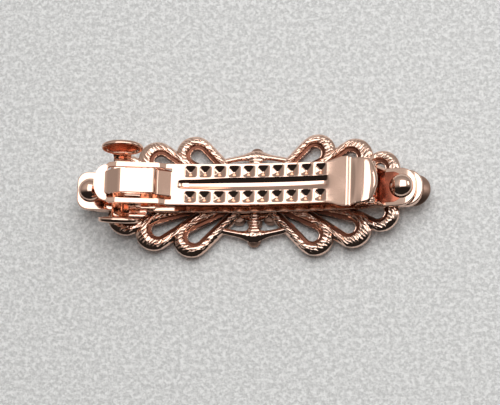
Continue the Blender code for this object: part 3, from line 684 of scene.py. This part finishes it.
# %% Tension bar
LEAF_LEFT, LEAF_RIGHT = -20.3, 24.4
LEAF_MIDDLE, LEAF_REACH = 2.05, 22.35
LEAF_HALF, LEAF_SHEET = 3.0, 0.45
LEAF_FOOT, LEAF_RISE = 4.95, 2.5
bm = blank(LEAF_LEFT, LEAF_RIGHT, LEAF_HALF)
cut_lines(bm, "s", spread(-19.0, 23.0, 28))
for v in bm.verts:
    v.co.z = (LEAF_FOOT + LEAF_RISE * (1 - ((v.co.x / MM - LEAF_MIDDLE) / LEAF_REACH) ** 2)) * MM
settle("tension_leaf", thickened(bm, LEAF_SHEET, edge=0.1), "base", spring, "tension_bar")

# %% [markdown]
# ## The petals
# Twelve cast teardrop loops carry most of the front stones. Seen from behind, each has a thin bright
# lip round its opening, a low flange with a red-brown painted shade, and a broad rib that is scored
# with slanting graver cuts. Each section is drawn at a foot of the loop, extruded along the first
# leg, spun round the tip and extruded back along the other leg. Every point keeps its place across
# the band in a layer, so that the cuts can be pressed into the back of the rib alone.

# %% Petal section
BAND_HALF, BAND_FOOT, LOOP = 1.35, 1.4, 2.8
RIB_INSIDE, RIB_OUTSIDE = -0.5, 1.35
RIB_FOOT, RIB_TOP = 1.42, 3.4
BACK_INSIDE, BACK_MIDDLE, BACK_OUTSIDE = -0.2, 0.15, 0.5
BACK_ROUND, SIDE_FALL, SHOULDER_FALL = 0.01, 0.75, 1.2


def rib_height(u):
    """Height of the rib across the band: a steep inner side, a broad back and a long outer shoulder."""
    if u > BACK_OUTSIDE:
        return RIB_TOP - BACK_ROUND - SHOULDER_FALL * (u - BACK_OUTSIDE) ** 1.5
    if u > BACK_INSIDE:
        return RIB_TOP - BACK_ROUND * ((u - BACK_MIDDLE) / (BACK_OUTSIDE - BACK_MIDDLE)) ** 2
    return RIB_TOP - BACK_ROUND - SIDE_FALL * ((BACK_INSIDE - u) / (BACK_INSIDE - RIB_INSIDE)) ** 1.5


RIB = [(RIB_INSIDE, RIB_FOOT), (RIB_INSIDE, 2.2)]
RIB += [(u, rib_height(u)) for u in spread(RIB_INSIDE, 1.33, 24)]
RIB += [(RIB_OUTSIDE, 2.2), (RIB_OUTSIDE, 1.6)] + [(u, RIB_FOOT) for u in spread(1.27, -0.4, 9)]
LIP = [(u, h + 2.5) for u, h in arc(-1.23, 0, 0.15, 0, 315, 7)]
FLANGE = [(-0.4, 1.5), (-1.3, 1.5), (-1.35, 1.55), (-1.35, 2.42)]
FLANGE += [(u, 2.46 + 0.2 * (u + 1.3)) for u in spread(-1.3, -0.4, 4)]

# %% Graver cuts
CUT_PITCH, CUT_HALF, CUT_DEPTH = 0.84, 0.23, 0.18
CUT_FLOOR, CUT_END = 2.4, (0.8, 1.2)
CROSS_TURN, CROSS_PITCH, CROSS_DEPTH = 0.25, 1.7, 0.5
WANDER, WANDER_SCALE = 0.5, 0.6
FADE_SCALE, FADE_SPAN = 0.45, (-0.6, 0.1)


def graver(x, y, slant, pitch, seed):
    """Depth from 0 to 1 of narrow cuts that slant across the rib, waver a little and fade in places."""
    wander = ripple.noise(Vector((x * WANDER_SCALE, y * WANDER_SCALE, seed)))
    line = (y * math.cos(slant) - x * math.sin(slant)) / pitch + WANDER * wander
    fade = eased(ripple.noise(Vector((x * FADE_SCALE, y * FADE_SCALE, seed + 5.0))), *FADE_SPAN)
    half = CUT_HALF * (1 + WANDER * wander)
    return fade * max(0.0, 1 - abs(line - round(line)) * pitch / half)


def scored(bm, place, slant):
    """Presses two sets of graver cuts into the back of the rib, the second wider apart and fainter."""
    for v in bm.verts:
        x, y, u = v.co.x / MM, v.co.y / MM, v[place]
        mask = eased(u, RIB_INSIDE, BACK_INSIDE) * (1 - eased(u, *CUT_END))
        if mask > 0 and v.co.z > CUT_FLOOR * MM:
            cut = graver(x, y, slant, CUT_PITCH, seed=1.0)
            cut += CROSS_DEPTH * graver(x, y, slant + CROSS_TURN, CROSS_PITCH * CUT_PITCH, seed=3.0)
            v.co -= v.normal * (CUT_DEPTH * mask * cut * MM)


# %% Petal sweep
OVERRUN, LEG_STEP, TIP_STEPS = 3.0, 0.1, 110
SEAT_SHARES = (0.2, 0.5, 0.8)
SEAT_RADIUS, SEAT_SLOPE = 0.87, 0.97


def carried(bm, edges, move, steps):
    """Extrudes a loop of edges by equal steps and gives back its last copy."""
    for _ in range(steps):
        grown = bmesh.ops.extrude_edge_only(bm, edges=edges)["geom"]
        fresh = {g for g in grown if isinstance(g, bmesh.types.BMVert)}
        bmesh.ops.translate(bm, vec=move / steps, verts=list(fresh))
        edges = [g for g in grown if isinstance(g, bmesh.types.BMEdge) and fresh.issuperset(g.verts)]
    return edges


def petal(sections, root, tip, thin, swell, slant):
    """Sweeps the sections round one loop. Gives back the loop and the seats of its three stones."""
    root, tip = (Vector((*spot, 0)) * MM for spot in (root, tip))
    along = (tip - root).normalized()
    across = Vector((-along.y, along.x, 0))
    reach = (tip - root).length
    # The legs are tangents to the circle of the tip, drawn from a point behind the root.
    back = BAND_HALF * reach / (LOOP - BAND_HALF)
    lean = math.asin(LOOP * MM / (reach + back))
    feet = [root - along * OVERRUN * MM + across * side * (back - OVERRUN * MM) * math.tan(lean)
            for side in (1, -1)]
    normals = [across * side * math.cos(lean) - along * math.sin(lean) for side in (1, -1)]
    meets = [tip + normal * LOOP * MM for normal in normals]
    turns = [(0.5 - share) * (math.pi + 2 * lean) for share in SEAT_SHARES]
    seats = [tip + (along * math.cos(a) + across * math.sin(a)) * LOOP * MM for a in turns]
    bm = bmesh.new()
    place = bm.verts.layers.float.new("across")
    steps = round((meets[0] - feet[0]).length / (LEG_STEP * MM))
    for section in sections:
        ring = []
        for u, h in section:
            thinned = BAND_FOOT + thin + (h - BAND_FOOT) * (1 - thin)
            ring.append(bm.verts.new(feet[0] + normals[0] * u * MM + Vector((0, 0, thinned * MM))))
            ring[-1][place] = u
        edges = [bm.edges.new(pair) for pair in zip(ring, ring[1:] + ring[:1])]
        edges = carried(bm, edges, meets[0] - feet[0], steps)
        verts = list({v for e in edges for v in e.verts})
        last = bmesh.ops.spin(bm, geom=verts + edges, cent=tip, axis=(0, 0, 1), angle=-math.pi - 2 * lean,
                              steps=TIP_STEPS)["geom_last"]
        carried(bm, [g for g in last if isinstance(g, bmesh.types.BMEdge)], feet[1] - meets[1], steps)
    bmesh.ops.holes_fill(bm, edges=[e for e in bm.edges if e.is_boundary], sides=0)
    bmesh.ops.recalc_face_normals(bm, faces=bm.faces)
    # The outer edge swells out at the tip, and the underside is hollowed for each stone.
    for v in bm.verts:
        outward = (Vector((v.co.x, v.co.y, 0)) - tip).normalized()
        facing = outward.dot(along)
        if v[place] > 0 and facing > 0:
            v.co += outward * (v[place] * facing * swell / BAND_HALF * MM)
        if v.co.z < (BAND_FOOT + thin + 0.03) * MM:
            near = min((v.co.xy - spot.xy).length for spot in seats)
            v.co.z += SEAT_SLOPE * max(0.0, SEAT_RADIUS * MM - near)
    bm.normal_update()
    scored(bm, place, math.radians(slant))
    return bm, seats


# %% [markdown]
# Three petals are drawn and each is mirrored to the four corners of the clip. A row of the table
# gives the root, the tip, how much the band loses above and below, how far its tip swells out and
# the slant of its cuts in degrees. The list `stones` collects where each stone goes: its name, its
# place, the height of its table and its radius.

# %% Petals
PETALS = (((6.8, 4.85), (13.3, 9.75), 0.0, 0.75, 15),
          ((14.1, 4.65), (21.5, 8.25), 0.06, 1.0, 52),
          ((22.3, 3.5), (28.1, 5.15), 0.12, 0.6, 38))
PETAL_TABLE, PETAL_STONE = 1.12, 0.85
CORNERS = [(side, face, flip_s, flip_y) for side, flip_s in (("right", 1), ("left", -1))
           for face, flip_y in (("back", 1), ("front", -1))]
stones = []
for k, (root, tip, thin, swell, slant) in enumerate(PETALS, 1):
    # The flanges take the look with painted shade.
    for kind, sections, look in (("petal", (RIB, LIP), cast), ("flange", (FLANGE,), flange_shade)):
        master, seats = petal(sections, root, tip, thin, swell, slant)
        for side, face, flip_s, flip_y in CORNERS:
            bm = master.copy()
            bmesh.ops.scale(bm, vec=(flip_s, flip_y, 1), verts=bm.verts)
            settle(f"{kind}_{side}_{face}_{k}", bm, "base", look, sharp=32)
        master.free()
    for side, face, flip_s, flip_y in CORNERS:
        for letter, spot in zip("abc", seats):
            s, y = spot.x / MM * flip_s, spot.y / MM * flip_y
            stones.append((f"{side}_{face}_{k}{letter}", s, y, PETAL_TABLE + thin, PETAL_STONE))

# %% [markdown]
# ## Spine, stem and braces
# A flat spine with broad round ends lies under the base bar and joins the petals. A stem scored
# crosswise runs over its middle, and at each end of the stem a brace-shaped bracket spans the two
# inner petals. Stem and brackets start as fine grids, which take their outline, their round back
# and their cuts before they get their depth.

# %% Spine
SPINE_FOOT, SPINE_DEPTH = 2.0, 1.4
quarter = arc(34.6, 0.5, 3.8, 0, 90, 10) + [(29.0, 4.3), (28.6, 3.6)]
outline = quarter + [(-s, y) for s, y in reversed(quarter)]
outline += [(-s, -y) for s, y in outline]
bm = plate(outline, (0, 0, SPINE_DEPTH), edge=0.3, segments=3)
cut_lines(bm, "s", spread(-38.0, 38.0, 38))
settle("ornament_spine", moved(bm, h=SPINE_FOOT), "base", cast, "ornament_frame")

# %% Stem and braces
STEM_REACH, STEM_HALF, STEM_DEPTH = 9.2, 1.05, 0.85
STEM_TOP, STEM_ROUND = 3.2, 0.35
STEM_FLARE, STEM_FLARE_SPAN = 0.9, (7.3, 9.0)
STEM_PITCH, STEM_CUT, STEM_WAVER = 0.68, 0.09, 0.12
BRACE_REACH, BRACE_HALF, BRACE_DEPTH = 7.4, 0.72, 0.8
BRACE_Y, BRACE_POINT, BRACE_TOP = 8.15, 1.5, 3.05
BULGE_INSIDE, BULGE_OUTSIDE, BULGE_SHARE = 1.7, 2.2, 0.85
BRACE_PITCH, BRACE_CUT, BRACE_WAVER, CUT_REACH = 0.45, 0.08, 0.25, 2.6
OUTER_FALL, BULGE_FALL, INNER_FALL = 0.6, 0.5, 0.3


def cast_strip(columns, rows, depth, shape):
    """A fine grid from -1 to 1 both ways, carried to (s, y, h) and given a depth."""
    bm = bmesh.new()
    bmesh.ops.create_grid(bm, x_segments=columns, y_segments=rows, size=1.0)
    for v in bm.verts:
        v.co = Vector(shape(v.co.x, v.co.y)) * MM
    return thickened(bm, depth, edge=0.06, limit=1.0)


def hill(x, width):
    """1 in the middle and falling to 0 on both sides."""
    return math.exp(-(x / width) ** 2)


def stem_shape(a, b):
    """A straight rib with flared ends, a round back and cuts across it."""
    y = STEM_REACH * b
    half = STEM_HALF + STEM_FLARE * eased(abs(y), *STEM_FLARE_SPAN)
    waver = STEM_WAVER * ripple.noise(Vector((a, y, 2.0)))
    cut = abs(math.sin(math.pi * (y + waver) / STEM_PITCH))
    return half * a, y, STEM_TOP - STEM_ROUND * abs(a) ** 3 - STEM_CUT * cut


def brace_shape(a, b):
    """Two arms that meet in a point, with a bulge and slanting cuts in the middle."""
    s = BRACE_REACH * a
    bulge = hill(s, BULGE_INSIDE) if b < 0 else BULGE_SHARE * hill(s, BULGE_OUTSIDE)
    line = 0.5 * s + 0.9 * b + BRACE_WAVER * ripple.noise(Vector((s, b, 6.0)))
    cut = abs(math.sin(math.pi * line / BRACE_PITCH)) * hill(s, CUT_REACH)
    y = BRACE_Y + BRACE_POINT * (1 - abs(a)) ** 0.8 + b * (BRACE_HALF + bulge)
    fall = (OUTER_FALL + BULGE_FALL * bulge) * b ** 1.6 if b > 0 else INNER_FALL * b ** 2
    return s, y, BRACE_TOP - fall - BRACE_CUT * cut


bm = cast_strip(14, 230, STEM_DEPTH, stem_shape)
settle("ornament_stem", bm, "base", cast, sharp=32)
for label, side in (("back", 1), ("front", -1)):
    bm = cast_strip(150, 16, BRACE_DEPTH, brace_shape)
    bmesh.ops.scale(bm, vec=(1, side, 1), verts=bm.verts)
    settle("ornament_brace_" + label, bm, "base", cast, sharp=32)

# %% [markdown]
# ## Stone cups
# The flower in the middle of the front is a hub with one wide cup and a ring of ten small ones,
# and one more cup hangs under each bracket. A cup is a spun profile: a closed back, a thin lip, and
# a hollow cone inside for the stone. Under each end of the spine is a flared pad, which is spun in
# the same way and stays clear of the floor.

# %% Stone cups
RING_COUNT, RING_RADIUS = 10, 6.05
RING_TABLE, RING_STONE = 0.6, 1.3
ACCENT_Y, ACCENT_TABLE, ACCENT_STONE = 10.3, 0.9, 1.105
CENTRE_STONE, END_PAD_S = 3.9, 35.9
HUB = [(0, 2.62), (5.9, 2.62), (6.05, 2.5), (6.05, 2.02), (5.9, 1.9), (0, 1.9)]
WIDE_CUP = [(0, 3.05), (3.85, 3.05), (4.08, 2.9), (4.42, 1.3), (4.45, 0.98), (4.36, 0.86), (4.06, 0.86)]
WIDE_CUP += [(4.0, 0.98), (1.0, 2.52), (0, 2.6)]
RING_CUP = [(0, 2.45), (1.25, 2.45), (1.5, 2.36), (1.6, 2.15), (1.68, 1.5), (1.72, 0.92), (1.66, 0.8)]
RING_CUP += [(1.42, 0.8), (1.37, 0.94), (0.34, 2.1), (0, 2.14)]
DROP_CUP = [(0, 2.3), (0.55, 2.28), (0.95, 2.1), (1.25, 1.8), (1.46, 1.5), (1.555, 1.25), (1.49, 1.13)]
DROP_CUP += [(1.24, 1.13), (1.18, 1.25), (0.3, 2.06), (0, 2.08)]
END_PAD = [(0, 2.7), (1.5, 2.7), (1.8, 2.6), (3.62, 1.2), (3.75, 0.98), (3.6, 0.8), (0, 0.8)]
settle("ornament_hub", turned(HUB, steps=72), "base", cast)
settle("cup_centre", turned(WIDE_CUP, steps=72), "base", cast)
stones.append(("centre", 0, 0, 0.0, CENTRE_STONE))
# The ring cups, the accent cups and the end pads take the matte look with painted shade.
for i in range(RING_COUNT):
    a = math.radians(360 / RING_COUNT * (i + 0.5))
    s, y = RING_RADIUS * math.cos(a), RING_RADIUS * math.sin(a)
    stand(f"cup_ring_{i + 1:02d}", turned(RING_CUP, steps=40), s, y, 0, matte_shade)
    stones.append((f"ring_{i + 1:02d}", s, y, RING_TABLE, RING_STONE))
for label, y in (("back", ACCENT_Y), ("front", -ACCENT_Y)):
    stand("cup_accent_" + label, turned(DROP_CUP, steps=40), 0, y, 0, matte_shade)
    stones.append(("accent_" + label, 0, y, ACCENT_TABLE, ACCENT_STONE))
for label, s in (("left", -END_PAD_S), ("right", END_PAD_S)):
    stand("end_pad_" + label, turned(END_PAD, steps=64), s, 0, 0, matte_shade)

# %% [markdown]
# ## The stones
# Every stone is a round brilliant: a flat table, a crown of kite facets, a thin girdle and a pointed
# pavilion. Only the corners of the facets are given, and a convex hull draws the flat faces between
# them. Each row of corners has a count, a turn in steps, and its reach and level as shares of the
# radius and the depth. Small grains of metal are pushed over each girdle to hold the stone.

# %% Stones and grains
FACET_ROWS = ((8, 0, 0.6, 0), (8, 0.5, 0.82, 0.15), (16, 0, 1, 0.29), (16, 0, 1, 0.34), (8, 0.5, 0.62, 0.7),
              (8, 0, 0.1, 1.05))
DEEPEST, WIDE_STONE = 2.35, 3.0
GRAIN_LEAST, GRAIN_SHARE = 0.16, 0.09
GRAIN_OUT, GRAIN_LEVEL = 0.45, 0.26


def brilliant(radius):
    """A cut stone with its table down."""
    deep = min(radius, DEEPEST)
    bm = bmesh.new()
    for count, turned_by, share, level_share in FACET_ROWS:
        reach = share * radius
        for k in range(count):
            a = math.tau * (k + turned_by) / count
            bm.verts.new(Vector((reach * math.cos(a), reach * math.sin(a), level_share * deep)) * MM)
    bmesh.ops.convex_hull(bm, input=bm.verts[:])
    bmesh.ops.dissolve_limit(bm, angle_limit=0.02, verts=bm.verts, edges=bm.edges)
    return bm


grains = bmesh.new()
for name, s, y, table, radius in stones:
    stand("gem_" + name, brilliant(radius), s, y, table, crystal, "stone_" + name, sharp=3)
    size = GRAIN_LEAST + GRAIN_SHARE * radius
    reach = radius + GRAIN_OUT * size
    h = table + GRAIN_LEVEL * min(radius, DEEPEST)
    count = 4 if radius < WIDE_STONE else 8
    for k in range(count):
        a = math.tau * (k + 0.5) / count
        spot = bent(Vector((s + reach * math.cos(a), y + reach * math.sin(a), h)) * MM)
        bmesh.ops.create_icosphere(grains, subdivisions=2, radius=size * MM,
                                   matrix=Matrix.Translation(spot))
settle("stone_grains", grains, "base", cast, sharp=60, bend=False)
